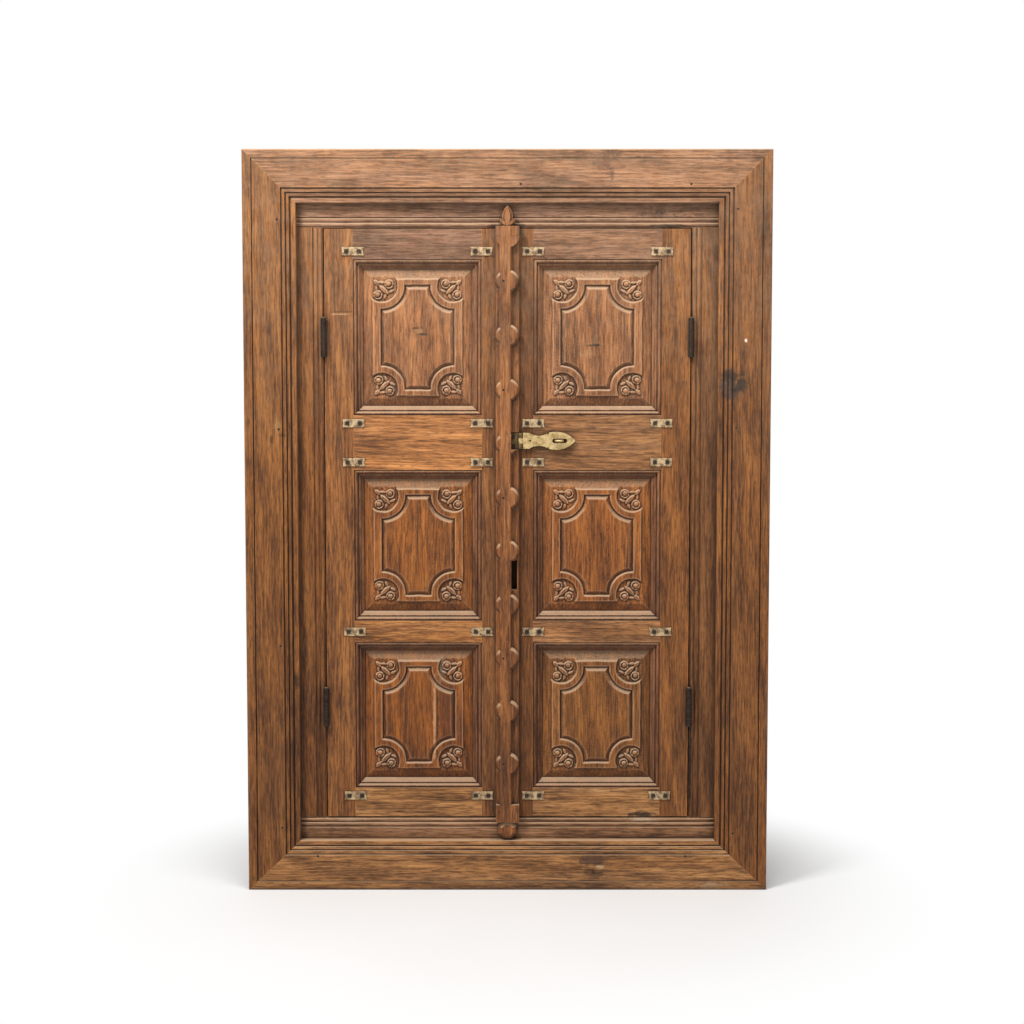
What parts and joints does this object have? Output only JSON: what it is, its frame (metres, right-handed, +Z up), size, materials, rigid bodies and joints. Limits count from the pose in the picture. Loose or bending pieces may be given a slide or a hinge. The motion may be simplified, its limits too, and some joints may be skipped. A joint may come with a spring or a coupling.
{
  "type": "carved double door with frame",
  "caption": "Small double door of old carved hardwood in its moulded frame, with raised panels, a scalloped cover batten, brass straps and a brass hasp over a staple.",
  "frame": {"origin": "bottom centre of the frame, halfway through its depth", "axes": "+Z up, +X to the right seen from the front, +Y to the back; the carved side faces -Y"},
  "size_m": [0.67, 0.05, 0.949],
  "materials": {
    "teak_casing": "old oiled wood, worn and dusty",
    "teak_lining": "old oiled wood, worn",
    "teak_leaf": "old oiled wood, worn",
    "teak_panel": "old oiled carved wood",
    "teak_moulding": "old oiled wood",
    "teak_astragal": "old oiled carved wood",
    "strap_brass": "dull dusty brass sheet",
    "hasp_brass": "old cast brass",
    "black_iron": "blackened iron"
  },
  "bodies": {
    "frame": {"casing_top": "teak_casing", "casing_bottom": "teak_casing", "casing_left": "teak_casing", "casing_right": "teak_casing", "head": "teak_lining", "sill": "teak_lining", "jamb_left": "teak_lining", "jamb_right": "teak_lining", "casing_nails": "black_iron", "hinge_left_lower_jamb": "black_iron", "hinge_left_upper_jamb": "black_iron", "hinge_right_lower_jamb": "black_iron", "hinge_right_upper_jamb": "black_iron", "pin_left_lower": "black_iron", "pin_left_upper": "black_iron", "pin_right_lower": "black_iron", "pin_right_upper": "black_iron", "jamb_screws": "black_iron"},
    "left_leaf": {"left_hinge_stile": "teak_leaf", "left_meeting_stile": "teak_leaf", "left_top_rail": "teak_leaf", "left_lock_rail": "teak_leaf", "left_lower_rail": "teak_leaf", "left_bottom_rail": "teak_leaf", "left_panel_top": "teak_panel", "left_panel_middle": "teak_panel", "left_panel_bottom": "teak_panel", "left_moulding_top": "teak_moulding", "left_moulding_middle": "teak_moulding", "left_moulding_bottom": "teak_moulding", "hinge_left_lower_leaf": "black_iron", "hinge_left_upper_leaf": "black_iron", "left_screws": "black_iron", "left_straps": "strap_brass", "left_strap_nails": "black_iron", "astragal": "teak_astragal", "astragal_nails": "black_iron", "hasp_eye": "hasp_brass", "hasp_eye_nails": "black_iron", "hasp_pin": "hasp_brass"},
    "right_leaf": {"right_hinge_stile": "teak_leaf", "right_meeting_stile": "teak_leaf", "right_top_rail": "teak_leaf", "right_lock_rail": "teak_leaf", "right_lower_rail": "teak_leaf", "right_bottom_rail": "teak_leaf", "right_panel_top": "teak_panel", "right_panel_middle": "teak_panel", "right_panel_bottom": "teak_panel", "right_moulding_top": "teak_moulding", "right_moulding_middle": "teak_moulding", "right_moulding_bottom": "teak_moulding", "hinge_right_lower_leaf": "black_iron", "hinge_right_upper_leaf": "black_iron", "right_screws": "black_iron", "right_straps": "strap_brass", "right_strap_nails": "black_iron", "staple": "hasp_brass"},
    "hasp": {"hasp": "hasp_brass"}
  },
  "joints": [
    {"name": "left_leaf_swing", "type": "hinge", "parent": "frame", "child": "left_leaf", "pos_m": [-0.23425, -0.0137, 0.4725], "axis": [0, 0, -1], "range_deg": [0, 140]},
    {"name": "right_leaf_swing", "type": "hinge", "parent": "frame", "child": "right_leaf", "pos_m": [0.23425, -0.0137, 0.4725], "axis": [0, 0, 1], "range_deg": [0, 140]},
    {"name": "hasp_swing", "type": "hinge", "parent": "left_leaf", "child": "hasp", "pos_m": [0.0163, -0.0135, 0.58111], "axis": [0, 0, -1], "range_deg": [0, 130]}
  ],
  "couplings": [
    {"joint": "right_leaf_swing", "follows": "left_leaf_swing", "ratio": 1}
  ]
}
